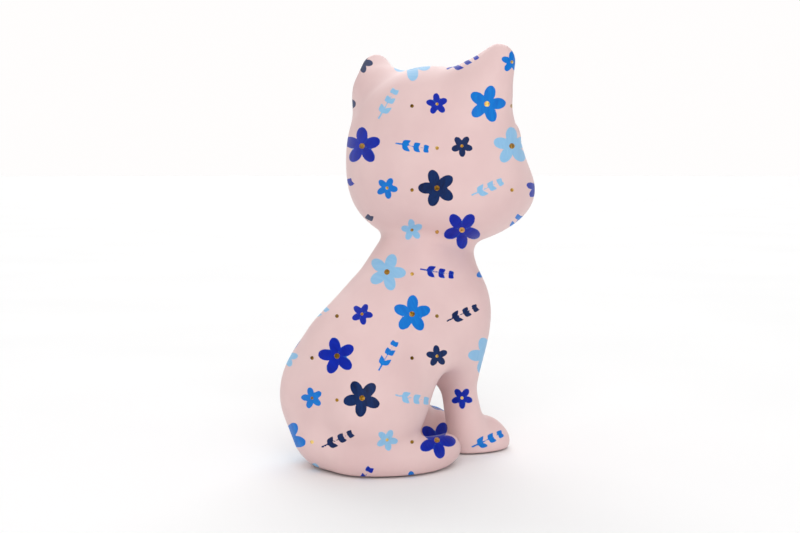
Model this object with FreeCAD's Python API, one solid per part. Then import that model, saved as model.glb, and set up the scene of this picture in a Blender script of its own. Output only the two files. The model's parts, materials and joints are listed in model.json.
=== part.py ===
# Seated ceramic cat figurine, slip-cast and luted together from separate clay pieces.
# Millimetres. +Z up, the cat looks along -Y, the rest plane is Z = 0.
# The tail lies along the cat's right side (-X).
import FreeCAD, Part
import math
import os

os.makedirs("parts", exist_ok=True)

# ---- driving dimensions -------------------------------------------------
PAD_T = 1.0            # felt pad thickness, ceramic underside sits at this height
PAD_D = 9.0            # felt pad diameter
WALL = 5.5             # slip-cast wall
SKULL_C = (0.0, -33.2, 225.2)     # upper head, centre and half sizes
SKULL_R = (74.8, 52.2, 63.2)
CHEEK_C = (0.0, -50.1, 195.0)     # cheeks, centre and half sizes
CHEEK_R = (68.8, 64.6, 39.0)
MUZZLE_C = (0.0, -104.0, 184.0)
MUZZLE_R = (24.0, 16.0, 17.0)
BROW_C = (26.4, -80.7, 236.8)
BROW_R = (17.0, 12.5, 14.0)
EAR_TIP = (63.3, -36.7, 288.1)
EAR_TIP_R = 13.0
EAR_ROOT = (54.9, -30.6, 270.9)
EAR_ROOT_R = 22.0
EAR_FLAT = 0.8         # ear thickness over ear width
NECK_R = 32.2          # neck radius at the seam
NECK_TOP = 169.0       # top of the neck spigot inside the head
NECK_Y = -31.8
LEG_X = 26.2           # front legs, half spacing
LEG_R = 12.0           # front leg radius below the elbow
POUR_R = 14.0          # pour opening in the underside
DISC_R = 18.0          # closing disc
DISC_C = (2.0, 38.0)
DISC_T = 5.0
VENT_D = 3.0
NOSE = (6.0, 4.0, 3.6)
HIND_R = (12.5, 23.0, 9.0)   # hind paw half sizes
HIND_Y = 8.0
GROUND = -1.86         # ceramic underside in the working frame
FRAME_Y = 19.1         # moves the whole cat so that its box is centred on the origin
FRAME_Z = PAD_T - GROUND

N_RING = 40            # points round a section


# ---- distance functions -------------------------------------------------
def ell(p, c, r):
    x, y, z = p[0] - c[0], p[1] - c[1], p[2] - c[2]
    a, b, d = x / r[0], y / r[1], z / r[2]
    k0 = math.sqrt(a * a + b * b + d * d)
    a, b, d = a / r[0], b / r[1], d / r[2]
    k1 = math.sqrt(a * a + b * b + d * d)
    return k0 * (k0 - 1.0) / max(k1, 1e-9)


def ell_tilt(p, c, r, deg):
    a = math.radians(deg)
    ca, sa = math.cos(a), math.sin(a)
    y, z = p[1] - c[1], p[2] - c[2]
    return ell((p[0] - c[0], ca * y + sa * z, -sa * y + ca * z), (0, 0, 0), r)


def rcone(p, a, b, r1, r2):
    ba = [b[i] - a[i] for i in range(3)]
    pa = [p[i] - a[i] for i in range(3)]
    l2 = sum(v * v for v in ba)
    rr = r1 - r2
    a2 = l2 - rr * rr
    il2 = 1.0 / l2
    y = sum(pa[i] * ba[i] for i in range(3))
    z = y - l2
    x2 = sum((pa[i] * l2 - ba[i] * y) ** 2 for i in range(3))
    y2, z2 = y * y * l2, z * z * l2
    k = math.copysign(1.0, rr) * rr * rr * x2
    if math.copysign(1.0, z) * a2 * z2 > k:
        return math.sqrt(x2 + z2) * il2 - r2
    if math.copysign(1.0, y) * a2 * y2 < k:
        return math.sqrt(x2 + y2) * il2 - r1
    return (math.sqrt(x2 * a2 * il2) + y * rr) * il2 - r1


def smin(a, b, k):
    h = max(k - abs(a - b), 0.0) / k
    return min(a, b) - h * h * k * 0.25


def head_f(p):
    d = ell(p, SKULL_C, SKULL_R)
    d = smin(d, ell(p, CHEEK_C, CHEEK_R), 26)
    d = smin(d, ell(p, MUZZLE_C, MUZZLE_R), 16)
    for s in (1, -1):
        d = smin(d, ell(p, (s * BROW_C[0], BROW_C[1], BROW_C[2]), BROW_R), 14)
    return d


def ear_f(p):
    y0 = -31.0
    q = (p[0], (p[1] - y0) / EAR_FLAT, p[2])
    a = (EAR_ROOT[0], (EAR_ROOT[1] - y0) / EAR_FLAT, EAR_ROOT[2])
    b = (EAR_TIP[0], (EAR_TIP[1] - y0) / EAR_FLAT, EAR_TIP[2])
    return rcone(q, a, b, EAR_ROOT_R, EAR_TIP_R) * 0.85


def torso_f(p):
    d = ell(p, (2, 41.2, 48.3), (55.8, 44.7, 54.2))
    d = smin(d, ell_tilt(p, (0, 8.2, 78.0), (52.4, 58.1, 43.1), 20.9), 28)
    d = smin(d, rcone(p, (0, -12.7, 102), (0, NECK_Y, 156.7), 50.9, NECK_R), 24)
    for c in ((34.9, 40.5, 46.8), (-29, 46, 47)):
        d = smin(d, ell_tilt(p, c, (24.3, 36.8, 33.8), -36), 20)
    for s in (1, -1):
        d = smin(d, rcone(p, (24 * s, -29.3, 110), (25.7 * s, -30.6, 82), 27.7, 17.9), 18)
    d = smin(d, ell(p, (2, 38, 20), (42, 36, 31)), 8)
    return d


def leg_f(p):
    x = LEG_X
    d = rcone(p, (x - 0.8, -30.1, 90), (x, -32.4, 60), 18, LEG_R)
    d = smin(d, rcone(p, (x, -32.4, 60), (x + 1.8, -41.2, 20), LEG_R, LEG_R + 2.2), 8)
    d = smin(d, ell(p, (x + 1.8, -56.3, 6.1), (14.6, 24.7, 18.2)), 10)
    d = smin(d, ell(p, (x + 1.8, -63.9, 3.1), (16.8, 21.8, 13.9)), 6)
    return d


# ---- section lofts ------------------------------------------------------
def hit(f, c, ang, level, rmax):
    ca, sa = math.cos(ang), math.sin(ang)
    step = 2.5
    r0, r1 = 0.0, step
    while r1 < rmax and f((c[0] + ca * r1, c[1] + sa * r1, c[2])) < level:
        r0, r1 = r1, r1 + step
    for _ in range(24):
        m = 0.5 * (r0 + r1)
        if f((c[0] + ca * m, c[1] + sa * m, c[2])) < level:
            r0 = m
        else:
            r1 = m
    return 0.5 * (r0 + r1)


def ring(f, c, level=0.0, rmax=140.0, n=N_RING, a0=0.0):
    pts = []
    for i in range(n):
        a = a0 + 2 * math.pi * i / n
        r = hit(f, c, a, level, rmax)
        pts.append(FreeCAD.Vector(c[0] + math.cos(a) * r, c[1] + math.sin(a) * r, c[2]))
    cv = Part.BSplineCurve()
    cv.interpolate(Points=pts, PeriodicFlag=True)
    return Part.Wire([cv.toShape()])


def lerp_path(path, z):
    if z <= path[0][0]:
        return path[0][1], path[0][2]
    for a, b in zip(path[:-1], path[1:]):
        if z <= b[0]:
            t = (z - a[0]) / (b[0] - a[0])
            t = t * t * (3 - 2 * t)
            return a[1] + (b[1] - a[1]) * t, a[2] + (b[2] - a[2]) * t
    return path[-1][1], path[-1][2]


def extreme(f, x, y, z_in, sign, level=0.0):
    z0, z1 = z_in, z_in + sign * 2.0
    while f((x, y, z1)) < level:
        z0, z1 = z1, z1 + sign * 2.0
    for _ in range(30):
        m = 0.5 * (z0 + z1)
        if f((x, y, m)) < level:
            z0 = m
        else:
            z1 = m
    return 0.5 * (z0 + z1)


def loft(f, path, zs, level=0.0, bottom=None, top=None, n=N_RING, a0=0.0):
    prof = []
    if bottom is not None:
        prof.append(Part.Vertex(FreeCAD.Vector(*bottom)))
    for z in zs:
        x, y = lerp_path(path, z)
        prof.append(ring(f, (x, y, z), level, n=n, a0=a0))
    if top is not None:
        prof.append(Part.Vertex(FreeCAD.Vector(*top)))
    s = Part.makeLoft(prof, True, False)
    if s.Volume < 0:
        s.reverse()
    return s


def dome_zs(z0, z1, n, open_low):
    # levels bunched towards the closed ends, poles left out
    out = []
    for i in range(n):
        if open_low:
            t = math.sin(0.5 * math.pi * i / n)
        else:
            t = 0.5 - 0.5 * math.cos(math.pi * (i + 1) / (n + 1))
        out.append(z0 + (z1 - z0) * t)
    return out


def solid_of(s):
    best = max(s.Solids, key=lambda q: q.Volume)
    return best


def save(name, s):
    s = s.copy()
    s.translate(FreeCAD.Vector(0, FRAME_Y, FRAME_Z))
    s.exportStep("parts/" + name + ".step")
    bb = s.BoundBox
    print(name, s.isValid(), len(s.Solids), round(s.Volume, 1),
          [round(v, 2) for v in (bb.XMin, bb.YMin, bb.ZMin, bb.XMax, bb.YMax, bb.ZMax)])


BOT = GROUND

# ---- torso --------------------------------------------------------------
TORSO_PATH = [(0, 2, 38), (40, 2, 32), (70, 0, 14), (100, 0, -2), (135, 0, -22), (175, 0, NECK_Y)]
tz = [BOT, 5, 13, 22, 32, 43, 54, 64, 73, 82, 92, 103, 115, 128, 141, 154, NECK_TOP]
torso_out = loft(torso_f, TORSO_PATH, tz)
iz = [BOT + WALL, 10, 18, 27, 37, 47, 57, 67, 77, 88, 100, 113, 127, 141, 155, NECK_TOP + 3]


def torso_in_f(p):
    # the slip fills in behind the shoulders and the foot, the cavity stays a plain egg and neck
    q = (p[0], p[1], min(p[2], 157.0))
    d = ell(q, (2, 41.2, 48.3), (55.8, 44.7, 54.2))
    d = smin(d, ell_tilt(q, (0, 8.2, 78.0), (52.4, 58.1, 43.1), 20.9), 28)
    return smin(d, rcone(q, (0, -12.7, 102), (0, NECK_Y, 156.7), 50.9, NECK_R), 24)


torso_in = loft(torso_in_f, TORSO_PATH, iz, level=-WALL, n=32, a0=0.05)
pour = Part.makeCylinder(POUR_R, 20, FreeCAD.Vector(DISC_C[0], DISC_C[1], -8))
torso = torso_out.cut(torso_in)

# closing disc: sits in a rebate of the underside, flush with the foot
disc_seat = Part.makeCylinder(DISC_R, DISC_T, FreeCAD.Vector(DISC_C[0], DISC_C[1], BOT))
torso = torso.cut(pour).cut(disc_seat)
torso = solid_of(torso)

# ---- head ---------------------------------------------------------------
YL, YH = -41.0, SKULL_C[1]
h_top = extreme(head_f, 0, YH, SKULL_C[2], 1)
h_bot = extreme(head_f, 0, YL, CHEEK_C[2], -1)
HEAD_PATH = [(0, 0, YL), (175, 0, YL - 4), (200, 0, YL - 5), (h_top, 0, YH)]
hz = dome_zs(h_bot, h_top, 17, False)
head_out = loft(head_f, HEAD_PATH, hz, bottom=(0, YL, h_bot), top=(0, YH, h_top), n=48)


def head_in_f(p):
    # the muzzle and brows are solid, the cavity is a plain egg
    return smin(ell(p, SKULL_C, SKULL_R), ell(p, CHEEK_C, CHEEK_R), 26)


i_top = extreme(head_in_f, 0, YH, SKULL_C[2], 1, -WALL)
i_bot = extreme(head_in_f, 0, YL, CHEEK_C[2], -1, -WALL)
hzi = dome_zs(i_bot, i_top, 12, False)
head_in = loft(head_in_f, HEAD_PATH, hzi, level=-WALL, bottom=(0, YL, i_bot), top=(0, YH, i_top), n=32, a0=0.05)
head = solid_of(head_out.cut(head_in).cut(torso_out))

# ---- ears ---------------------------------------------------------------
def ear_path_at(z):
    t = (z - EAR_ROOT[2]) / (EAR_TIP[2] - EAR_ROOT[2])
    t = max(0.0, min(1.0, t))
    return (EAR_ROOT[0] + (EAR_TIP[0] - EAR_ROOT[0]) * t, EAR_ROOT[1] + (EAR_TIP[1] - EAR_ROOT[1]) * t)


ez_top = extreme(ear_f, EAR_TIP[0], EAR_TIP[1], EAR_TIP[2], 1)
prof = []
for z in [252, 256, 261, 266, 271, 276, 281, 286, 290, 293.5, 296.5, 298.8]:
    x, y = ear_path_at(z)
    prof.append(ring(ear_f, (x, y, z), rmax=60, n=28))
prof.append(Part.Vertex(FreeCAD.Vector(EAR_TIP[0], EAR_TIP[1], ez_top)))
ear_raw = Part.makeLoft(prof, True, False)
if ear_raw.Volume < 0:
    ear_raw.reverse()
ear_left = solid_of(ear_raw.cut(head_out))
ear_right = ear_left.mirror(FreeCAD.Vector(0, 0, 0), FreeCAD.Vector(1, 0, 0))

# ---- front legs ---------------------------------------------------------
LEG_PATH = [(0, LEG_X + 1.8, -57), (8, LEG_X + 1.8, -55), (28, LEG_X + 1.4, -40), (60, LEG_X, -32.4), (96, LEG_X - 0.8, -30.1)]
leg_raw = loft(leg_f, LEG_PATH, [BOT, 2.5, 7.5, 12, 16, 20, 25, 32, 42, 55, 68, 80, 92], n=32)
leg_left = solid_of(leg_raw.cut(torso_out))
leg_right_raw = leg_raw.mirror(FreeCAD.Vector(0, 0, 0), FreeCAD.Vector(1, 0, 0))
leg_right = solid_of(leg_right_raw.cut(torso_out))

# ---- tail ---------------------------------------------------------------
TAIL_PTS = [(30, 50, 33, 20), (14.1, 62.1, 22.3, 23.2), (-4.1, 65.0, 16.6, 19.5), (-20.3, 63.7, 12.8, 17.5),
            (-33.5, 55.0, 10.6, 15.4), (-43.5, 41.2, 9.3, 14.0), (-48.0, 25.1, 8.8, 13.4), (-48.3, 10.0, 9.2, 12.1),
            (-45.9, 0.4, 9.5, 10.9), (-41.7, -5.7, 8.6, 10.7)]
path = []
P = [TAIL_PTS[0]] + TAIL_PTS + [TAIL_PTS[-1]]
P[0] = tuple(2 * TAIL_PTS[0][i] - TAIL_PTS[1][i] for i in range(4))
P[-1] = tuple(2 * TAIL_PTS[-1][i] - TAIL_PTS[-2][i] for i in range(4))
for i in range(1, len(P) - 2):
    for k in range(2):
        t = k / 2.0
        path.append(tuple(0.5 * (2 * P[i][j] + (P[i + 1][j] - P[i - 1][j]) * t
                                 + (2 * P[i - 1][j] - 5 * P[i][j] + 4 * P[i + 1][j] - P[i + 2][j]) * t * t
                                 + (3 * P[i][j] - P[i - 1][j] - 3 * P[i + 1][j] + P[i + 2][j]) * t ** 3)
                          for j in range(4)))
path.append(TAIL_PTS[-1])
prof = []
for i, q in enumerate(path):
    a = path[max(i - 1, 0)]
    b = path[min(i + 1, len(path) - 1)]
    d = FreeCAD.Vector(b[0] - a[0], b[1] - a[1], b[2] - a[2])
    d.normalize()
    c = FreeCAD.Vector(q[0], q[1], q[2])
    prof.append((c, d, q[3]))
c, d, r = prof[-1]
for t in (0.38, 0.68, 0.88, 0.97):
    prof.append((c + d * (r * t), d, r * math.sqrt(1 - t * t)))
wires = []
up = FreeCAD.Vector(0, 0, 1)
for c2, d2, r2 in prof:
    e1 = d2.cross(up)
    e1.normalize()
    e2 = e1.cross(d2)
    pts = [c2 + e1 * (r2 * math.cos(2 * math.pi * k / 16)) + e2 * (r2 * math.sin(2 * math.pi * k / 16)) for k in range(16)]
    cv = Part.BSplineCurve()
    cv.interpolate(Points=pts, PeriodicFlag=True)
    wires.append(Part.Wire([cv.toShape()]))
tip = c + d * r
wires.append(Part.Vertex(tip))
tail_raw = Part.makeLoft(wires, True, False)
if tail_raw.Volume < 0:
    tail_raw.reverse()
below = Part.makeBox(400, 400, 50, FreeCAD.Vector(-200, -200, BOT - 50))
tail = solid_of(tail_raw.cut(below).cut(torso_out))

# ---- hind paws ----------------------------------------------------------
def hind(x):
    s = Part.makeSphere(1.0)
    m = FreeCAD.Matrix()
    m.scale(*HIND_R)
    s = s.transformGeometry(m)
    s.translate(FreeCAD.Vector(x, HIND_Y, GROUND + 4))
    return s.cut(below).cut(torso_out)


hind_left = solid_of(hind(35))
hind_right = solid_of(hind(-31).cut(tail_raw))

# ---- nose ---------------------------------------------------------------
s = Part.makeSphere(1.0)
m = FreeCAD.Matrix()
m.scale(NOSE[0], NOSE[1], NOSE[2])
nose_raw = s.transformGeometry(m)
ny = 0.0
y0, y1 = CHEEK_C[1], CHEEK_C[1] - 90
for _ in range(40):
    mid = 0.5 * (y0 + y1)
    if head_f((0, mid, 190)) < 0:
        y0 = mid
    else:
        y1 = mid
nose_raw.translate(FreeCAD.Vector(0, y0 + 0.6, 190))
nose = solid_of(nose_raw.cut(head_out))

# ---- closing disc with vent --------------------------------------------
disc = Part.makeCylinder(DISC_R, DISC_T, FreeCAD.Vector(DISC_C[0], DISC_C[1], BOT))
disc = disc.common(torso_out)
disc = disc.cut(Part.makeCylinder(VENT_D / 2, 20, FreeCAD.Vector(DISC_C[0], DISC_C[1], -8)))
disc = solid_of(disc)

# ---- felt pads ----------------------------------------------------------
pads = []
for x, y in ((28, -57), (-28, -57), (25.6, 38), (-21.6, 38)):
    pads.append(Part.makeCylinder(PAD_D / 2, PAD_T, FreeCAD.Vector(x, y, GROUND - PAD_T)))
pads = Part.makeCompound(pads)

save("torso_shell", torso)
save("head_shell", head)
save("ear_left", ear_left)
save("ear_right", ear_right)
save("front_leg_left", leg_left)
save("front_leg_right", leg_right)
save("hind_paw_left", hind_left)
save("hind_paw_right", hind_right)
save("tail", tail)
save("nose", nose)
save("base_disc", disc)
save("foot_pads", pads)
lo, hi = 1e9, -1e9
for q in (torso, head, nose, tail):
    vs = q.tessellate(0.1)[0]
    lo = min(lo, min(v.y for v in vs))
    hi = max(hi, max(v.y for v in vs))
print("y extent", round(lo, 3), round(hi, 3), "middle", round(0.5 * (lo + hi), 3))
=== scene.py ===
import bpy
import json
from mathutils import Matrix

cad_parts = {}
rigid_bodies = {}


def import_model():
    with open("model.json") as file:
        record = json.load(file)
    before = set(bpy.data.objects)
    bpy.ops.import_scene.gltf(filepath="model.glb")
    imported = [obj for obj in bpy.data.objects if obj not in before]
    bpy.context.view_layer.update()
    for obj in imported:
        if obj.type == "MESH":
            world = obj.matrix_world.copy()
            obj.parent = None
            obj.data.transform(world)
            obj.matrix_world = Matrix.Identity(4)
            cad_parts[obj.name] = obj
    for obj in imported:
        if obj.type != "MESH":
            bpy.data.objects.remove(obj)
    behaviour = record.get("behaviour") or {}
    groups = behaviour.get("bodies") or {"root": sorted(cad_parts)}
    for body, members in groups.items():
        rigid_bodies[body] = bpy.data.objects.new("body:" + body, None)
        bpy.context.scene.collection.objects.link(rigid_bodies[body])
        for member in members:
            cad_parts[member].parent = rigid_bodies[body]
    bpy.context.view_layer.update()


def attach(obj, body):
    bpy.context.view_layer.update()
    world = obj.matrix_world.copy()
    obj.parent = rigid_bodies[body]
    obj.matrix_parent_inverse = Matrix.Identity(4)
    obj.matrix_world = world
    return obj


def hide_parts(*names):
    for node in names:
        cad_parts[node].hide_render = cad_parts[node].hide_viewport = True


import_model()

import bpy
import json
import math
import numpy as np
from mathutils import Vector, Matrix


# The form is worked out in millimetres in the cat's own frame, SHIFT brings it to the row frame.
SHIFT = np.array((0.0, 19.1, 2.86))
BOT = -1.7
GRID = 1.0
f32 = np.float32


# ------------------------------------------------------------------ the form
def ell(x, y, z, c, r):
    a, b, d = (x - c[0]) / r[0], (y - c[1]) / r[1], (z - c[2]) / r[2]
    k0 = np.sqrt(a * a + b * b + d * d)
    a, b, d = a / r[0], b / r[1], d / r[2]
    k1 = np.sqrt(a * a + b * b + d * d)
    return k0 * (k0 - 1) / np.maximum(k1, 1e-9)


def ell_tilt(x, y, z, c, r, deg):
    a = math.radians(deg)
    ca, sa = math.cos(a), math.sin(a)
    y, z = y - c[1], z - c[2]
    return ell(x - c[0], ca * y + sa * z, -sa * y + ca * z, (0, 0, 0), r)


def rcone(x, y, z, a, b, r1, r2):
    bx, by, bz = b[0] - a[0], b[1] - a[1], b[2] - a[2]
    l2 = bx * bx + by * by + bz * bz
    rr = r1 - r2
    a2 = l2 - rr * rr
    il2 = 1.0 / l2
    px, py, pz = x - a[0], y - a[1], z - a[2]
    t = px * bx + py * by + pz * bz
    w = t - l2
    x2 = (px * l2 - bx * t) ** 2 + (py * l2 - by * t) ** 2 + (pz * l2 - bz * t) ** 2
    t2, w2 = t * t * l2, w * w * l2
    k = math.copysign(rr * rr, rr) * x2
    d1 = np.sqrt(x2 + w2) * il2 - r2
    d2 = np.sqrt(x2 + t2) * il2 - r1
    d3 = (np.sqrt(x2 * (a2 * il2)) + t * rr) * il2 - r1
    return np.where(np.sign(w) * a2 * w2 > k, d1, np.where(np.sign(t) * a2 * t2 < k, d2, d3))


def smin(a, b, k):
    h = np.maximum(k - np.abs(a - b), 0) / k
    return np.minimum(a, b) - h * h * k * 0.25


def catmull(pts, n, closed=False):
    p = [np.array(q, float) for q in pts]
    if closed:
        p = [p[-1]] + p + [p[0], p[1]]
    else:
        p = [2 * p[0] - p[1]] + p + [2 * p[-1] - p[-2]]
    out = []
    for i in range(1, len(p) - 2):
        for k in range(n):
            t = k / n
            out.append(0.5 * (2 * p[i] + (p[i + 1] - p[i - 1]) * t
                              + (2 * p[i - 1] - 5 * p[i] + 4 * p[i + 1] - p[i + 2]) * t * t
                              + (3 * p[i] - p[i - 1] - 3 * p[i + 1] + p[i + 2]) * t ** 3))
    if not closed:
        out.append(p[-2])
    return np.array(out)


TAIL = catmull([(30, 50, 33, 20), (14.1, 62.1, 22.3, 23.2), (-4.1, 65.0, 16.6, 19.5), (-20.3, 63.7, 12.8, 17.5),
                (-33.5, 55.0, 10.6, 15.4), (-43.5, 41.2, 9.3, 14.0), (-48.0, 25.1, 8.8, 13.4), (-48.3, 10.0, 9.2, 12.1),
                (-45.9, 0.4, 9.5, 10.9), (-41.7, -5.7, 8.6, 10.7)], 4)


def head_f(x, y, z):
    d = ell(x, y, z, (0, -33.2, 225.2), (74.8, 52.2, 63.2))
    d = smin(d, ell(x, y, z, (0, -50.1, 195.0), (68.8, 64.6, 39.0)), 26)
    d = smin(d, ell(x, y, z, (0, -104.0, 184.0), (24, 16, 17)), 16)
    for s in (1, -1):
        d = smin(d, ell(x, y, z, (s * 26.4, -80.7, 236.8), (17, 12.5, 14)), 14)
    return d


def ear_f(x, y, z, s):
    return rcone(s * x, (y + 31) / 0.8, z, (54.9, 0.5, 270.9), (63.3, -7.1, 288.1), 22, 13) * 0.85


def torso_f(x, y, z):
    d = ell(x, y, z, (2, 46.0, 48.3), (55.8, 40.0, 54.2))
    d = smin(d, ell_tilt(x, y, z, (0, 8.2, 78.0), (52.4, 58.1, 43.1), 20.9), 28)
    d = smin(d, rcone(x, y, z, (0, -12.7, 102), (0, -31.8, 156.7), 50.9, 32.2), 24)
    for s in (1, -1):
        d = smin(d, rcone(x, y, z, (24 * s, -29.3, 110), (25.5 * s, -30.4, 88), 27.7, 18.2), 18)
    # the hollow under the belly, behind and between the front legs
    hollow = -smin(-(z - 60.0 - 0.30 * (y + 20)), -(y + 0.45 * (z - 60) - 6.0), 14)
    d = -smin(-d, hollow, 12)
    for c in ((34.9, 44.5, 46.8), (-29, 50, 47)):
        d = smin(d, ell_tilt(x, y, z, c, (24.3, 33.0, 33.8), -36), 16)
    d = smin(d, ell(x, y, z, (2, 42, 20), (42, 34, 31)), 8)
    return d


def leg_f(x, y, z, s):
    x = s * x
    d = rcone(x, y, z, (25.4, -30.1, 90), (26.2, -32.4, 60), 18, 12)
    d = smin(d, rcone(x, y, z, (26.2, -32.4, 60), (28, -41.2, 20), 12, 14.2), 8)
    d = smin(d, ell(x, y, z, (28, -56.3, 6.1), (14.6, 24.7, 18.2)), 10)
    d = smin(d, ell(x, y, z, (28, -63.9, 3.1), (16.8, 21.8, 13.9)), 6)
    return d


def hind_f(x, y, z, s):
    return ell(x, y, z, (35 if s > 0 else -31, 8, 2.1), (12.5, 23, 9))


def tail_f(x, y, z):
    d = None
    for a, b in zip(TAIL[:-1], TAIL[1:]):
        e = rcone(x, y, z, a[:3], b[:3], a[3], b[3])
        d = e if d is None else np.minimum(d, e)
    return d


PARTS = ["head", "ear_l", "ear_r", "torso", "leg_l", "leg_r", "hind_l", "hind_r", "tail"]


def field(x, y, z, labels=False):
    """Distance to the glazed skin, and on request which clay piece is nearest."""
    dh = head_f(x, y, z)
    el, er = ear_f(x, y, z, 1), ear_f(x, y, z, -1)
    dt = torso_f(x, y, z)
    ll, lr = leg_f(x, y, z, 1), leg_f(x, y, z, -1)
    hl, hr = hind_f(x, y, z, 1), hind_f(x, y, z, -1)
    ta = tail_f(x, y, z)
    h = smin(smin(dh, el, 20), er, 20)
    d = smin(dt, h, 9)
    d = smin(smin(d, ll, 20), hl, 7)
    d = smin(smin(d, lr, 20), hr, 7)
    d = smin(d, ta, 8)
    d = -smin(-d, z - BOT, 1.6)
    if not labels:
        return d
    return d, np.argmin(np.stack([dh, el, er, dt, ll, lr, hl, hr, ta]), 0)


def grad(x, y, z, e=0.15):
    g = np.zeros((len(x), 3))
    for sx, sy, sz in ((1, -1, -1), (-1, -1, 1), (-1, 1, -1), (1, 1, 1)):
        v = field(x + sx * e, y + sy * e, z + sz * e)
        g += v[:, None] * np.array((sx, sy, sz))
    return g / (4 * e)


def surface_nets(h):
    lo = np.array((-84.0, -125.0, -6.0))
    hi = np.array((84.0, 93.0, 307.0))
    B = 4
    nb = np.ceil((hi - lo) / (h * B)).astype(int)
    n = nb * B + 1
    ax = [lo[i] + h * np.arange(n[i]) for i in range(3)]
    cx = [lo[i] + h * B * (np.arange(nb[i]) + 0.5) for i in range(3)]
    X, Y, Z = np.meshgrid(*cx, indexing="ij")
    C = field(X.astype(f32), Y.astype(f32), Z.astype(f32))
    near = np.abs(C) < h * B * 0.87 * 1.35 + 1.5
    V = np.ones(tuple(n), f32)
    V[:-1, :-1, :-1] = np.repeat(np.repeat(np.repeat(np.sign(C), B, 0), B, 1), B, 2)
    M = np.zeros(tuple(n), bool)
    m = np.repeat(np.repeat(np.repeat(near, B, 0), B, 1), B, 2)
    for i in (0, 1):
        for j in (0, 1):
            for k in (0, 1):
                M[i:n[0] - 1 + i, j:n[1] - 1 + j, k:n[2] - 1 + k] |= m
    ii, jj, kk = np.nonzero(M)
    vals = np.empty(len(ii), f32)
    for s in range(0, len(ii), 400000):
        q = slice(s, s + 400000)
        vals[q] = field(ax[0][ii[q]].astype(f32), ax[1][jj[q]].astype(f32), ax[2][kk[q]].astype(f32))
    V[ii, jj, kk] = vals
    S = V < 0
    cnt = np.zeros(tuple(n - 1), np.uint8)
    for i in (0, 1):
        for j in (0, 1):
            for k in (0, 1):
                cnt += S[i:n[0] - 1 + i, j:n[1] - 1 + j, k:n[2] - 1 + k]
    act = (cnt > 0) & (cnt < 8)
    ci, cj, ck = np.nonzero(act)
    idx = np.full(tuple(n - 1), -1, np.int64)
    idx[ci, cj, ck] = np.arange(len(ci))
    off = [(i, j, k) for i in (0, 1) for j in (0, 1) for k in (0, 1)]
    cv = np.stack([V[ci + o[0], cj + o[1], ck + o[2]] for o in off], 1)
    pos = np.zeros((len(ci), 3))
    num = np.zeros(len(ci))
    for a in range(8):
        for b in range(a + 1, 8):
            if sum(abs(off[a][t] - off[b][t]) for t in range(3)) != 1:
                continue
            va, vb = cv[:, a], cv[:, b]
            cross = (va < 0) != (vb < 0)
            t = np.where(cross, va / np.where(cross, va - vb, 1), 0)
            p = np.array(off[a])[None] + t[:, None] * (np.array(off[b]) - np.array(off[a]))[None]
            pos += np.where(cross[:, None], p, 0)
            num += cross
    pos = pos / num[:, None] + np.stack([ci, cj, ck], 1)
    P = lo + h * pos
    quads = []
    for axis in range(3):
        a, b = (axis + 1) % 3, (axis + 2) % 3
        sl0 = [slice(1, n[t] - 1) for t in range(3)]
        sl0[axis] = slice(0, n[axis] - 1)
        sl1 = list(sl0)
        sl1[axis] = slice(1, n[axis])
        s0, s1 = S[tuple(sl0)], S[tuple(sl1)]
        e = np.nonzero(s0 != s1)
        base = [e[t] + (0 if t == axis else 1) for t in range(3)]

        def cell(da, db):
            c = [base[0].copy(), base[1].copy(), base[2].copy()]
            c[a] = c[a] + da
            c[b] = c[b] + db
            return idx[c[0], c[1], c[2]]
        q = np.stack([cell(-1, -1), cell(0, -1), cell(0, 0), cell(-1, 0)], 1)
        flip = ~s0[e]
        q[flip] = q[flip][:, ::-1]
        quads.append(q)
    return P, np.concatenate(quads)


def project(P, it=4):
    for _ in range(it):
        d = field(P[:, 0], P[:, 1], P[:, 2])
        g = grad(P[:, 0], P[:, 1], P[:, 2])
        P = P - g * (np.clip(d, -1.5, 1.5) / np.maximum((g * g).sum(1), 0.1))[:, None]
    g = grad(P[:, 0], P[:, 1], P[:, 2])
    return P, g / np.linalg.norm(g, axis=1, keepdims=True)


P0, QUADS = surface_nets(GRID)
SKIN, NORM = project(P0)
DUMMY, LABEL = field(SKIN[:, 0], SKIN[:, 1], SKIN[:, 2], True)
print("skin", len(SKIN), len(QUADS))


# ------------------------------------------------------------------ the two sight lines the painter works along
class Sight:
    """A pinhole view used to lay the brushwork on the form, in an 800 by 533 field."""
    unit = 0.74

    def __init__(s, azimuth, f=1290.0, dist=953.0, height=211.5, level=169.0):
        a = math.radians(azimuth)
        d0 = np.array([-math.sin(a), math.cos(a), 0.0])
        s.pos = -d0 * dist + np.array([0, 0, height])
        s.r = np.array([math.cos(a), math.sin(a), 0.0])
        p = math.atan((266.5 - level) / f)
        s.d = d0 * math.cos(p) - np.array([0, 0, 1.0]) * math.sin(p)
        s.u = np.cross(s.r, s.d)
        s.f = f

    def px(s, P):
        q = P - s.pos
        w = q @ s.d
        return np.stack([400 + s.f * (q @ s.r) / w, 266.5 - s.f * (q @ s.u) / w], 1)

    def rays(s, xy):
        xy = np.asarray(xy, float)
        v = s.d + ((xy[:, 0] - 400) / s.f)[:, None] * s.r - ((xy[:, 1] - 266.5) / s.f)[:, None] * s.u
        return v / np.linalg.norm(v, axis=1, keepdims=True)

    def land(s, xy):
        """Where points of the view meet the skin."""
        v = s.rays(xy)
        t = np.full(len(v), 780.0)
        ok = np.zeros(len(v), bool)
        for _ in range(110):
            q = s.pos + v * t[:, None]
            d = field(q[:, 0], q[:, 1], q[:, 2])
            ok |= d < 0.02
            t += np.where(ok, 0, np.maximum(d, 0.02) * 0.85)
            ok &= t < 1160
        q = s.pos + v * t[:, None]
        return q, ok & (t < 1150)


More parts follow.
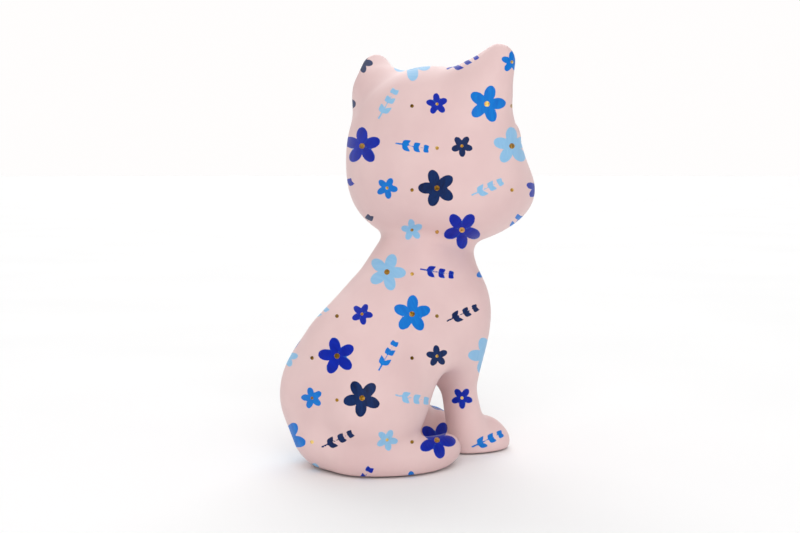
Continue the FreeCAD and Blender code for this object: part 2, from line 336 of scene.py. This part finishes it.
class Flat:
    """A straight-on view in millimetres, across one way and up the other."""
    unit = 1.0

    def __init__(s, across, look):
        s.a, s.d = np.array(across, float), np.array(look, float)

    def px(s, P):
        return np.stack([P @ s.a, P[:, 2]], 1)

    def land(s, xy):
        xy = np.asarray(xy, float)
        o = xy[:, :1] * s.a + xy[:, 1:] * np.array((0, 0, 1.0)) - s.d * 170
        t = np.zeros(len(xy))
        ok = np.zeros(len(xy), bool)
        for _ in range(110):
            q = o + s.d * t[:, None]
            d = field(q[:, 0], q[:, 1], q[:, 2])
            ok |= d < 0.02
            t += np.where(ok, 0, np.maximum(d, 0.02) * 0.85)
            ok &= t < 170
        return o + s.d * t[:, None], ok


BACK = Sight(225.0)                       # behind the cat's right shoulder
FRONT = Flat((1, 0, 0), (0, 1, 0))        # facing the cat
LEFT = Flat((0, 1, 0), (-1, 0, 0))        # its left side
RIGHT = Flat((0, 1, 0), (1, 0, 0))        # its right side
VIEWS = {"back": BACK, "front": FRONT, "left": LEFT, "right": RIGHT}


def petal(base, left, tip, right):
    """Closed outline with sharp ends: base, one edge, tip, the other edge back."""
    a = catmull([base] + left + [tip], 6)
    b = catmull([tip] + right + [base], 6)
    return np.concatenate([a[:-1], b[:-1]])


def blob(pts):
    return catmull(pts, 6, closed=True)


def inside_distance(xy, poly):
    """Distance to the outline, positive inside, in view units."""
    x, y = xy[:, 0], xy[:, 1]
    best = np.full(len(xy), 1e9)
    inn = np.zeros(len(xy), bool)
    n = len(poly)
    for i in range(n):
        ax, ay = poly[i]
        bx, by = poly[(i + 1) % n]
        ex, ey = bx - ax, by - ay
        L = ex * ex + ey * ey
        if L < 1e-12:
            continue
        t = np.clip(((x - ax) * ex + (y - ay) * ey) / L, 0, 1)
        dx, dy = x - ax - t * ex, y - ay - t * ey
        best = np.minimum(best, dx * dx + dy * dy)
        c = (ay > y) != (by > y)
        if c.any():
            inn ^= c & (x < ex * (y - ay) / (ey if abs(ey) > 1e-12 else 1e-12) + ax)
    d = np.sqrt(best)
    return np.where(inn, d, -d)


LAYERS = {k: np.full(len(SKIN), -5.0, f32) for k in ("sky", "azure", "royal", "navy", "gold", "top")}
SEEN = {}
for name, sight in VIEWS.items():
    if name == "back":
        to = sight.pos - SKIN
        to /= np.linalg.norm(to, axis=1, keepdims=True)
    else:
        to = -sight.d[None, :]
    SEEN[name] = (sight, sight.px(SKIN), (NORM * to).sum(1))
ALL = set(range(9))
HEAD = {0, 1, 2}
BODY = {3, 4, 5, 6, 7, 8}


def paint(layer, outline, where, view="back", wrap=False):
    sight, xy, facing = SEEN[view]
    lo, hi = outline.min(0) - 4, outline.max(0) + 4
    m = (xy[:, 0] > lo[0]) & (xy[:, 0] < hi[0]) & (xy[:, 1] > lo[1]) & (xy[:, 1] < hi[1])
    m &= np.isin(LABEL, list(where))
    if view != "back":
        m &= facing > (0.12 if not wrap else -0.1)
    elif not wrap:
        m &= facing > -0.02
    else:
        m &= facing > -0.75
    k = np.nonzero(m)[0]
    if not len(k):
        return
    d = inside_distance(xy[k], outline) * sight.unit
    LAYERS[layer][k] = np.maximum(LAYERS[layer][k], np.clip(d, -5, 5))


RIBBONS = []   # (material, points on the skin, half widths in mm)


def stroke(kind, pts, w=0.45, view="back", ends=(0.5, 0.35), n=8, closed=False, curve=None):
    """A liner stroke: w is its half width in mm, tapering to ends."""
    c = catmull(pts, n, closed)
    seg = np.linalg.norm(np.diff(c, axis=0), axis=1)
    s = np.concatenate([[0], np.cumsum(seg)])
    m = max(4, int(s[-1] * VIEWS[view].unit / 0.8))
    u = np.linspace(0, s[-1], m)
    c = np.stack([np.interp(u, s, c[:, 0]), np.interp(u, s, c[:, 1])], 1)
    t = u / s[-1]
    if curve is None:
        prof = np.interp(t, [0, 0.18, 0.5, 0.85, 1], [ends[0], 1, 1, 0.9, ends[1]])
    else:
        prof = np.interp(t, np.linspace(0, 1, len(curve)), curve)
    RIBBONS.append((kind, view, c, w * prof))


# ---- plain stock motifs: rounded blossoms, leaf sprigs and dots
def lily(layer, view, where, c, petals, wrap=False):
    """Petals are (angle, length, half width, sideways bend)."""
    for ang, L, w, bend in petals:
        a = math.radians(ang)
        u, v = np.array((math.cos(a), math.sin(a))), np.array((-math.sin(a), math.cos(a)))
        at = lambda f, g: tuple(np.array(c) + u * (L * f) + v * (g + bend * f * f))
        paint(layer, petal(at(-0.04, 0), [at(0.14, w * 0.42), at(0.34, w * 0.92), at(0.58, w), at(0.82, w * 0.48)], at(1, 0),
                           [at(0.84, -w * 0.34), at(0.6, -w * 0.82), at(0.36, -w), at(0.14, -w * 0.5)]), where, view, wrap)


def disc(layer, view, where, c, a, b, ang, wrap=False):
    t = np.linspace(0, 2 * math.pi, 18, endpoint=False)
    ca, sa = math.cos(ang), math.sin(ang)
    x, y = a * np.cos(t), b * np.sin(t)
    paint(layer, np.stack([c[0] + x * ca - y * sa, c[1] + x * sa + y * ca], 1), where, view, wrap)


def blossom(layer, view, where, c, R, turn=0.0, n=5, wrap=False):
    """Equal rounded petals about a gilt centre."""
    for k in range(n):
        a = math.radians(turn + 360.0 * k / n)
        q = (c[0] + 0.56 * R * math.cos(a), c[1] + 0.56 * R * math.sin(a))
        disc(layer, view, where, q, 0.44 * R, 0.30 * R, a, wrap)
    disc(layer, view, where, c, 0.24 * R, 0.24 * R, 0.0, wrap)
    disc("gold", view, where, c, 0.15 * R, 0.15 * R, 0.0, wrap)


def fern(layer, view, where, stem, n, L, w, ang=48, taper=0.6, width=1.1, sides=(1, -1), wrap=False):
    c = catmull(stem, 10)
    s = np.concatenate([[0], np.cumsum(np.linalg.norm(np.diff(c, axis=0), axis=1))])
    t = np.gradient(c, axis=0)
    t /= np.linalg.norm(t, axis=1, keepdims=True)
    nrm = np.stack([-t[:, 1], t[:, 0]], 1)
    hw = width * (1 - 0.8 * s / s[-1])[:, None]
    paint(layer, np.concatenate([c + nrm * hw, (c - nrm * hw)[::-1]]), where, view, wrap)
    for i in range(n):
        f = (i + 0.6) / n * s[-1]
        k = int(np.searchsorted(s, f))
        k = min(k, len(c) - 1)
        for sd in sides:
            a = math.atan2(t[k, 1], t[k, 0]) + sd * math.radians(ang)
            ln = L * (1 - (1 - taper) * i / max(n - 1, 1)) * (1.0 if sd > 0 else 0.88)
            lily(layer, view, where, c[k], [(math.degrees(a), ln, w, -sd * ln * 0.22)], wrap)


# near side: a half-drop repeat, cells of 50 x 42
TINTS = ("royal", "azure", "navy", "sky")
for row in range(11):
    for col in range(7):
        cx, cy = 262 + 50 * col + 25 * (row % 2), 62 + 42 * row
        kind = (col + 2 * row) % 3
        tint = TINTS[(col + row) % 4]
        if kind == 0:
            blossom(tint, "back", ALL, (cx, cy), 19, 18 + 23 * col + 31 * row)
        elif kind == 1:
            a = math.radians(-60 + 35 * ((row + col) % 3))
            u = np.array((math.cos(a), math.sin(a)))
            c0 = np.array((cx, cy), float)
            fern(tint, "back", ALL, [tuple(c0 - u * 17), tuple(c0), tuple(c0 + u * 15)], 3, 11, 2.6, 44, width=0.9)
        else:
            blossom(tint, "back", ALL, (cx, cy), 11, 40 * col)
        if (row + col) % 2:
            disc("gold", "back", ALL, (cx + 25, cy + 2), 1.9, 1.9, 0.0)

# left side of the head
fern("navy", "left", HEAD, [(-16, 262), (-24, 252), (-30, 246)], 3, 9, 2.0, 46)
blossom("azure", "left", HEAD, (-40, 214), 26, 12)
paint("gold", petal((-24, 186), [(-30, 178), (-44, 170), (-62, 168)], (-82, 176), [(-64, 173), (-48, 177), (-36, 182)]), HEAD, "left")
paint("sky", petal((-18, 262), [(-24, 240), (-14, 218), (-12, 196), (-20, 180)], (-24, 166), [(-14, 178), (-5, 196), (-6, 220), (-12, 240)]), HEAD, "left")
stroke("gold", [(-44, 292), (-50, 276), (-62, 262), (-70, 244)], 0.6, "left")
# the face: closed, smiling eyes, a short mouth, freckles
for s_ in (1, -1):
    E = [(15 * s_, 233.5), (19 * s_, 228.2), (26 * s_, 225.6), (33 * s_, 227.6), (38.5 * s_, 233)]
    stroke("navy", E, 1.05, "front", ends=(0.35, 0.6))
    for q in ([(37 * s_, 231), (40.5 * s_, 230.6), (44 * s_, 232.6)], [(34.5 * s_, 228.6), (38 * s_, 226.8), (41.5 * s_, 227.6)],
              [(31 * s_, 226.8), (33.6 * s_, 223.6), (36.6 * s_, 222.6)]):
        stroke("navy", q, 0.7, "front", ends=(1.0, 0.25))
    stroke("navy", [(0, 181.5), (2 * s_, 177.6), (6.5 * s_, 175.6), (11 * s_, 177.2), (13.4 * s_, 180.6)], 0.75, "front", ends=(0.9, 0.4))
    for fx, fz in ((17, 187), (22.5, 184), (20, 191)):
        paint("navy", blob([(fx * s_ - 1.2, fz), (fx * s_, fz + 1.2), (fx * s_ + 1.2, fz), (fx * s_, fz - 1.2)]), HEAD, "front")
stroke("navy", [(0, 187), (0, 184), (0, 181)], 0.7, "front", ends=(0.9, 0.9))
# a small spray between the ears and one by the left temple
blossom("royal", "front", HEAD, (44, 252), 17, 12)
fern("sky", "front", HEAD, [(46, 246), (54, 230), (58, 212), (56, 196)], 4, 11, 2.2, 44)
paint("gold", petal((-6, 256), [(-3, 250), (-4, 242)], (0, 232), [(4, 242), (3, 250)]), HEAD, "front")
blossom("sky", "front", HEAD, (0, 258), 10, 12)
# the chest
CH = {3, 4, 5}
blossom("royal", "front", CH, (14, 122), 26, 12)
fern("sky", "front", CH, [(2, 62), (0, 78), (-5, 94), (-8, 108)], 4, 12, 2.4, 46)
paint("gold", petal((-2, 100), [(-12, 112), (-15, 128), (-10, 140)], (-9, 150), [(-5, 138), (-8, 126), (-6, 112)]), CH, "front")
# left front leg
fern("azure", "front", {4}, [(30, 8), (27, 30), (27, 56), (30, 84)], 6, 14, 3.0, 42)
fern("azure", "left", {3, 4}, [(-38, 28), (-30, 52), (-32, 76), (-26, 98)], 4, 15, 3.2, 46, sides=(1,))
stroke("gold", [(22, 20), (20, 40), (22, 60)], 0.55, "front")
# left flank and haunch
blossom("royal", "left", {3}, (36, 76), 32, 12)
fern("sky", "left", {3, 8}, [(80, 14), (58, 18), (36, 24), (8, 34)], 6, 22, 4.0, 50)
fern("sky", "left", {6}, [(22, 4), (6, 6), (-8, 5)], 3, 7, 1.8, 50)
fern("navy", "left", {3}, [(6, 22), (-6, 44), (-8, 66), (2, 88)], 5, 15, 3.2, 46)
paint("gold", petal((-30, 108), [(-36, 120), (-34, 134), (-38, 144)], (-44, 156), [(-44, 142), (-42, 128), (-38, 116)]), {3}, "left")
# right front, past the edge of the camera's view
for x, z, r in ((-34, 150, 1.1), (40, 40, 1.2), (18, 96, 1.1), (62, 52, 1.0), (-12, 96, 0.9), (50, 104, 1.0)):
    paint("gold", blob([(x - r, z), (x, z + r * 1.2), (x + r, z), (x, z - r * 0.9)]), BODY, "left")


# ------------------------------------------------------------------ materials
def srgb(r, g, b):
    return tuple(((c / 255) / 12.92 if c / 255 <= 0.04045 else ((c / 255 + 0.055) / 1.055) ** 2.4) for c in (r, g, b)) + (1.0,)


class Nodes:
    def __init__(self, name):
        self.m = bpy.data.materials.new(name)
        self.m.use_nodes = True
        self.t = self.m.node_tree
        self.t.nodes.clear()
        self.out = self.t.nodes.new("ShaderNodeOutputMaterial")
        self.b = self.t.nodes.new("ShaderNodeBsdfPrincipled")
        self.t.links.new(self.b.outputs[0], self.out.inputs[0])
        self.tc = self.t.nodes.new("ShaderNodeTexCoord")

    def link(self, a, b):
        self.t.links.new(a, b)

    def math(self, op, a, b=None, c=None, clamp=False):
        n = self.t.nodes.new("ShaderNodeMath")
        n.operation = op
        n.use_clamp = clamp
        for i, v in enumerate((a, b, c)):
            if v is None:
                continue
            if isinstance(v, (int, float)):
                n.inputs[i].default_value = v
            else:
                self.link(v, n.inputs[i])
        return n.outputs[0]

    def noise(self, scale, detail=2.0, rough=0.5, stretch=None, distortion=0.0):
        n = self.t.nodes.new("ShaderNodeTexNoise")
        n.inputs["Scale"].default_value = scale
        n.inputs["Detail"].default_value = detail
        n.inputs["Roughness"].default_value = rough
        n.inputs["Distortion"].default_value = distortion
        src = self.tc.outputs["Object"]
        if stretch:
            mp = self.t.nodes.new("ShaderNodeMapping")
            mp.inputs["Rotation"].default_value = stretch[0]
            mp.inputs["Scale"].default_value = stretch[1]
            self.link(src, mp.inputs[0])
            src = mp.outputs[0]
        self.link(src, n.inputs["Vector"])
        return n.outputs["Fac"]

    def attr(self, name):
        n = self.t.nodes.new("ShaderNodeAttribute")
        n.attribute_name = name
        return n.outputs["Fac"]

    def mix(self, fac, a, b):
        n = self.t.nodes.new("ShaderNodeMix")
        n.data_type = "RGBA"
        self.link(fac, n.inputs[0])
        for v, i in ((a, 6), (b, 7)):
            if isinstance(v, tuple):
                n.inputs[i].default_value = v
            else:
                self.link(v, n.inputs[i])
        return n.outputs[2]

    def ramp(self, fac, stops):
        n = self.t.nodes.new("ShaderNodeValToRGB")
        e = n.color_ramp.elements
        while len(e) < len(stops):
            e.new(0.5)
        for k, (p, c) in enumerate(stops):
            e[k].position = p
            e[k].color = c
        self.link(fac, n.inputs[0])
        return n.outputs[0]

    def bump(self, height, strength, dist, normal=None):
        n = self.t.nodes.new("ShaderNodeBump")
        n.inputs["Strength"].default_value = strength
        n.inputs["Distance"].default_value = dist
        self.link(height, n.inputs["Height"])
        if normal is not None:
            self.link(normal, n.inputs["Normal"])
        return n.outputs[0]


PINK_A, PINK_B = srgb(228, 199, 197), srgb(221, 190, 189)
SKY_A, SKY_B = srgb(146, 193, 227), srgb(134, 185, 223)
AZURE_A, AZURE_B = srgb(0, 122, 210), srgb(0, 104, 196)
ROYAL_A, ROYAL_B = srgb(0, 38, 172), srgb(0, 26, 146)
NAVY_A, NAVY_B = srgb(0, 42, 98), srgb(0, 22, 66)
# the gold tints: a painted highlight tint, the mid gold of the leaf, and a painted shade tint
GOLD_HIGHLIGHT_TINT, GOLD_B, GOLD_SHADE_TINT = srgb(246, 212, 124), srgb(186, 138, 52), srgb(104, 72, 24)


def painted_material():
    k = Nodes("hand_painted_ceramic")
    fine = k.noise(900, 3, 0.6)
    broad = k.noise(28, 3, 0.5)
    streak = k.noise(60, 4, 0.6, stretch=((0.5, 0.3, 0.8), (1.0, 9.0, 1.6)))
    wob = k.math("MULTIPLY", k.math("SUBTRACT", k.noise(380, 3, 0.6), 0.5), 0.55)
    col = k.ramp(broad, [(0.3, PINK_A), (0.7, PINK_B)])
    total = None
    for name, ca, cb in (("sky", SKY_A, SKY_B), ("azure", AZURE_A, AZURE_B), ("royal", ROYAL_A, ROYAL_B), ("navy", NAVY_A, NAVY_B)):
        sd = k.math("ADD", k.attr("p_" + name), wob)
        m = k.math("MULTIPLY_ADD", sd, 5.0, 0.5, clamp=True)
        tone = k.ramp(streak, [(0.32, ca), (0.68, cb)])
        if name in ("royal", "azure"):
            # the dry edge of the stroke shows a paler blue
            edge = k.math("MULTIPLY_ADD", sd, -1.3, 1.0, clamp=True)
            dry = k.math("MULTIPLY", edge, k.math("MULTIPLY_ADD", streak, 4.0, -1.9, clamp=True), clamp=True)
            tone = k.mix(dry, tone, srgb(60, 140, 220))
        col = k.mix(m, col, tone)
        total = m if total is None else k.math("MAXIMUM", total, m)
    gs = k.math("ADD", k.attr("p_gold"), wob)
    gm = k.math("MULTIPLY_ADD", gs, 5.0, 0.5, clamp=True)
    # the leaf's colour runs from a painted shade tint through mid gold to a painted highlight tint; it is driven by the
    # crumple texture, which also raises the leaf's real creases in the bump, and by vertically stretched painted
    # reflection streaks
    crumple_and_glint = k.noise(420, 5, 0.62, distortion=0.5)
    painted_reflection_streaks = k.noise(46, 2, 0.5, stretch=((0, 0, 0.6), (1.0, 1.0, 0.35)))
    gold = k.ramp(k.math("ADD", k.math("MULTIPLY", crumple_and_glint, 0.45), k.math("MULTIPLY", painted_reflection_streaks, 0.55)),
                  [(0.38, GOLD_SHADE_TINT), (0.5, GOLD_B), (0.6, GOLD_HIGHLIGHT_TINT)])
    col = k.mix(gm, col, gold)
    k.link(col, k.b.inputs["Base Color"])
    k.link(gm, k.b.inputs["Metallic"])
    rough = k.math("MULTIPLY_ADD", fine, 0.10, 0.36)
    rough = k.math("MULTIPLY_ADD", total, 0.05, rough)
    rough = k.math("MULTIPLY_ADD", gm, -0.10, rough)
    k.link(rough, k.b.inputs["Roughness"])
    k.b.inputs["Specular IOR Level"].default_value = 0.18
    # the paint stands a hair above the glaze, leaf is crumpled, the casting waves slightly
    lift = k.math("MULTIPLY", k.math("MAXIMUM", total, gm), 0.6)
    h = k.math("MULTIPLY_ADD", k.math("MULTIPLY", crumple_and_glint, gm), 1.5, lift)
    h = k.math("MULTIPLY_ADD", k.math("MULTIPLY", streak, total), 0.5, h)
    h = k.math("MULTIPLY_ADD", fine, 0.10, h)
    n1 = k.bump(h, 0.55, 0.00012)
    n2 = k.bump(k.noise(11, 2, 0.4), 0.18, 0.0012, n1)
    k.link(n2, k.b.inputs["Normal"])
    return k.m


def plain_material(name, a, b, scale, rough, metallic=0.0, bump=0.0, bscale=None, spec=0.45):
    k = Nodes(name)
    n = k.noise(scale, 4, 0.6)
    k.link(k.ramp(n, [(0.35, a), (0.65, b)]), k.b.inputs["Base Color"])
    k.link(k.math("MULTIPLY_ADD", n, 0.12, rough), k.b.inputs["Roughness"])
    k.b.inputs["Metallic"].default_value = metallic
    k.b.inputs["Specular IOR Level"].default_value = spec
    if bump:
        k.link(k.bump(k.noise(bscale or scale, 4, 0.6), bump, 0.0002), k.b.inputs["Normal"])
    return k.m


MAT = {
    "skin": painted_material(),
    # the gold liner's colour wanders at random between the painted highlight tint and mid gold
    "gold": plain_material("gold_leaf_line", GOLD_HIGHLIGHT_TINT, GOLD_B, 300, 0.28, 1.0, 0.4, 500),
    "sky": plain_material("pale_blue_line", SKY_A, SKY_B, 200, 0.38),
    "line": plain_material("royal_blue_line", srgb(0, 36, 172), srgb(0, 24, 146), 260, 0.4),
    "navy": plain_material("navy_line", NAVY_A, NAVY_B, 260, 0.36),
    "nose": plain_material("nose_glaze", srgb(190, 110, 118), srgb(170, 92, 104), 120, 0.22),
    "clay": plain_material("bare_clay", srgb(222, 210, 192), srgb(204, 190, 170), 260, 0.75, 0.0, 0.5, 900, 0.3),
    "felt": plain_material("felt", srgb(150, 146, 138), srgb(118, 114, 108), 900, 0.85, 0.0, 1.0, 2600, 0.2),
}


# ------------------------------------------------------------------ meshes
def to_row(P):
    return (P + SHIFT) * 0.001


def make_object(name, verts, faces, mat, normals=None, attrs=None, smooth=True):
    me = bpy.data.meshes.new(name)
    me.from_pydata(verts.tolist(), [], faces if isinstance(faces, list) else faces.tolist())
    me.update()
    if smooth:
        me.polygons.foreach_set("use_smooth", np.ones(len(me.polygons), bool))
    if attrs:
        for k, v in attrs.items():
            a = me.attributes.new(k, "FLOAT", "POINT")
            a.data.foreach_set("value", np.asarray(v, f32))
    if normals is not None:
        me.normals_split_custom_set_from_vertices(normals.tolist())
    me.materials.append(mat)
    ob = bpy.data.objects.new(name, me)
    bpy.context.scene.collection.objects.link(ob)
    return ob


def ring_loops(quads, outer):
    """Ordered open edges of a patch, each running against its face."""
    e = np.concatenate([quads[:, [0, 1]], quads[:, [1, 2]], quads[:, [2, 3]], quads[:, [3, 0]]])
    key = e[:, 0] * outer + e[:, 1]
    rev = e[:, 1] * outer + e[:, 0]
    lone = e[~np.isin(key, rev)]
    nxt = {}
    for a, b in lone:
        nxt.setdefault(int(b), []).append(int(a))
    loops = []
    while nxt:
        s = next(iter(nxt))
        cur, loop = s, []
        while cur in nxt:
            loop.append(cur)
            t = nxt[cur].pop()
            if not nxt[cur]:
                del nxt[cur]
            cur = t
            if cur == s:
                break
        loops.append(loop)
    return loops


def clean_labels(quads, label, rounds=6):
    """Face labels by majority, smoothed so that seams run clean."""
    ql = np.array([np.bincount(r, minlength=9).argmax() for r in label[quads]]) if len(quads) < 1 else None
    oh = np.zeros((len(quads), 9), np.int16)
    for k in range(4):
        oh[np.arange(len(quads)), label[quads[:, k]]] += 1
    ql = oh.argmax(1)
    nv = len(label)
    for _ in range(rounds):
        acc = np.zeros((nv, 9), f32)
        for k in range(4):
            np.add.at(acc, (quads[:, k], ql), 1)
        s = sum(acc[quads[:, k]] for k in range(4))
        s[np.arange(len(quads)), ql] += 0.5
        ql = s.argmax(1)
    return ql


QL = clean_labels(QUADS, LABEL)
NODE_OF = {"head": "head_shell", "ear_l": "ear_left", "ear_r": "ear_right", "torso": "torso_shell", "leg_l": "front_leg_left",
           "leg_r": "front_leg_right", "hind_l": "hind_paw_left", "hind_r": "hind_paw_right", "tail": "tail"}
MADE = {}
for k, part in enumerate(PARTS):
    q = QUADS[QL == k]
    if not len(q):
        print("no faces for", part)
        continue
    # all faces labelled for this piece, reindexed to their own vertices
    used, inv = np.unique(q, return_inverse=True)
    q = inv.reshape(q.shape)
    V, N = SKIN[used], NORM[used]
    faces = q.tolist()
    extraV, extraN = [], []
    loops = ring_loops(q, len(used))
    centre = V.mean(0)
    for loop in loops:
        if len(loop) < 3:
            continue
        c = V[loop].mean(0)
        inward = -N[loop].mean(0)
        ln = np.linalg.norm(inward)
        depth = min(6.0, 0.05 * len(loop))
        c = c + (inward / max(ln, 1e-6)) * depth * (1 if ln > 0.3 else 0)
        ci = len(used) + len(extraV)
        extraV.append(c)
        extraN.append(-inward / max(ln, 1e-6))
        for i in range(len(loop)):
            faces.append([loop[i], loop[(i + 1) % len(loop)], ci])
    if extraV:
        V = np.concatenate([V, np.array(extraV)])
        N = np.concatenate([N, np.array(extraN)])
    at = {"p_" + n: np.concatenate([v[used], np.full(len(extraV), -5.0, f32)]) for n, v in LAYERS.items()}
    ob = make_object("skin_" + NODE_OF[part], to_row(V), faces, MAT["skin"], N, at)
    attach(ob, "root")
    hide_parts(NODE_OF[part])
    MADE[part] = ob
    print(part, len(q), "open loops", [len(x) for x in loops][:8])


def ribbon_mesh(points, widths):
    """Low raised strokes as closed strips on the skin."""
    A = np.concatenate(points)
    G = grad(A[:, 0], A[:, 1], A[:, 2])
    G /= np.linalg.norm(G, axis=1, keepdims=True)
    V, F, at, b = [], [], 0, 0
    for P, w in zip(points, widths):
        n = len(P)
        N = G[at:at + n]
        at += n
        T = np.gradient(P, axis=0)
        T /= np.maximum(np.linalg.norm(T, axis=1, keepdims=True), 1e-9)
        S = np.cross(N, T)
        S /= np.maximum(np.linalg.norm(S, axis=1, keepdims=True), 1e-9)
        w = np.maximum(w, 0.08)[:, None]
        rows = np.stack([P + S * w - N * 0.05, P + S * w * 0.55 + N * 0.12, P - S * w * 0.55 + N * 0.12,
                         P - S * w - N * 0.05, P - N * 0.35], 1)
        m = rows.shape[1]
        V.append(rows.reshape(-1, 3))
        for i in range(n - 1):
            for j in range(m):
                a0, a1 = b + i * m + j, b + i * m + (j + 1) % m
                F.append([a0, a1, a1 + m, a0 + m])
        F.append([b + j for j in range(m)][::-1])
        F.append([b + (n - 1) * m + j for j in range(m)])
        b += n * m
    return np.concatenate(V), F


def lay_ribbons():
    landed = {}
    for view in VIEWS:
        own = [i for i, r in enumerate(RIBBONS) if r[1] == view]
        if not own:
            continue
        P, ok = VIEWS[view].land(np.concatenate([RIBBONS[i][2] for i in own]))
        at = 0
        for i in own:
            n = len(RIBBONS[i][2])
            landed[i] = (P[at:at + n], ok[at:at + n])
            at += n
    for kind in sorted({r[0] for r in RIBBONS}):
        pts, ws = [], []
        for k, (kd, view, c, w) in enumerate(RIBBONS):
            if kd != kind:
                continue
            P, ok = landed[k]
            # a stroke that runs over the edge of the view stops there
            run = []
            for i in range(len(c)):
                if ok[i] and (not run or np.linalg.norm(P[i] - P[run[-1]]) < 7):
                    run.append(i)
                    continue
                if len(run) > 2:
                    pts.append(P[run])
                    ws.append(w[run])
                run = [i] if ok[i] else []
            if len(run) > 2:
                pts.append(P[run])
                ws.append(w[run])
        if not pts:
            continue
        V, F = ribbon_mesh(pts, ws)
        ob = make_object("strokes_" + kind, to_row(V), F, MAT[kind])
        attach(ob, "root")
        print("strokes", kind, len(V), len(F))


lay_ribbons()

# ------------------------------------------------------------------ CAD nodes that stay
for node, mat in (("nose", "nose"), ("base_disc", "clay"), ("foot_pads", "felt")):
    for o in bpy.data.objects:
        if o.type == "MESH" and o.name == node:
            o.data.materials.clear()
            o.data.materials.append(MAT[mat])

# ------------------------------------------------------------------ stage, light, camera
floor_me = bpy.data.meshes.new("floor")
R, n = 40.0, 96
fv = [(0, 0, 0)] + [(R * math.cos(2 * math.pi * i / n), R * math.sin(2 * math.pi * i / n), 0) for i in range(n)]
floor_me.from_pydata(fv, [], [[0, 1 + i, 1 + (i + 1) % n] for i in range(n)])
fm = Nodes("studio_floor")
fm.link(fm.ramp(fm.noise(3, 2), [(0.3, srgb(246, 246, 246)), (0.7, srgb(248, 248, 248))]), fm.b.inputs["Base Color"])
fm.b.inputs["Roughness"].default_value = 0.8
fm.b.inputs["Specular IOR Level"].default_value = 0.05
floor_me.materials.append(fm.m)
floor = bpy.data.objects.new("floor", floor_me)
bpy.context.scene.collection.objects.link(floor)

world = bpy.data.worlds.new("studio")
world.use_nodes = True
bpy.context.scene.world = world
wt = world.node_tree
bg = wt.nodes["Background"]
bg.inputs[0].default_value = (1.0, 0.985, 0.98, 1.0)
# a bright cyclorama low down, a dimmer ceiling above it
tc = wt.nodes.new("ShaderNodeTexCoord")
sep = wt.nodes.new("ShaderNodeSeparateXYZ")
wt.links.new(tc.outputs["Generated"], sep.inputs[0])
mr = wt.nodes.new("ShaderNodeMapRange")
mr.interpolation_type = "SMOOTHSTEP"
mr.inputs["From Min"].default_value = 0.14
mr.inputs["From Max"].default_value = 0.34
mr.inputs["To Min"].default_value = 1.0
mr.inputs["To Max"].default_value = 0.24
wt.links.new(sep.outputs["Z"], mr.inputs["Value"])
wt.links.new(mr.outputs["Result"], bg.inputs[1])


def sun(name, direction, power, soft, color=(1, 1, 1)):
    """Direction is where the light comes from."""
    d = bpy.data.lights.new(name, "SUN")
    d.energy = power
    d.angle = math.radians(soft)
    d.color = color
    o = bpy.data.objects.new(name, d)
    o.rotation_mode = "QUATERNION"
    o.rotation_quaternion = Vector(direction).to_track_quat("Z", "Y")
    bpy.context.scene.collection.objects.link(o)
    return o


sun("key", (-0.72, 0.62, 0.62), 1.15, 50)
sun("front", (0.70, -0.66, 0.75), 1.2, 50)
sun("top", (0.05, 0.0, 1.0), 1.1, 90)

cam_d = bpy.data.cameras.new("camera")
cam = bpy.data.objects.new("camera", cam_d)
bpy.context.scene.collection.objects.link(cam)
cam_d.sensor_width = 36.0
cam_d.lens = 1290.0 / 800.0 * 36.0
cam_d.clip_start = 0.05
cam_d.clip_end = 50
pos = (BACK.pos + SHIFT) * 0.001
cam.location = Vector(pos)
m = Matrix((Vector(BACK.r), Vector(BACK.u), Vector(-BACK.d))).transposed()
cam.rotation_mode = "QUATERNION"
cam.rotation_quaternion = m.to_quaternion()
bpy.context.scene.camera = cam
vs = bpy.context.scene.view_settings
vs.view_transform = "Standard"
vs.look = "None"
vs.exposure = 0.0
vs.gamma = 1.0

bpy.context.view_layer.update()
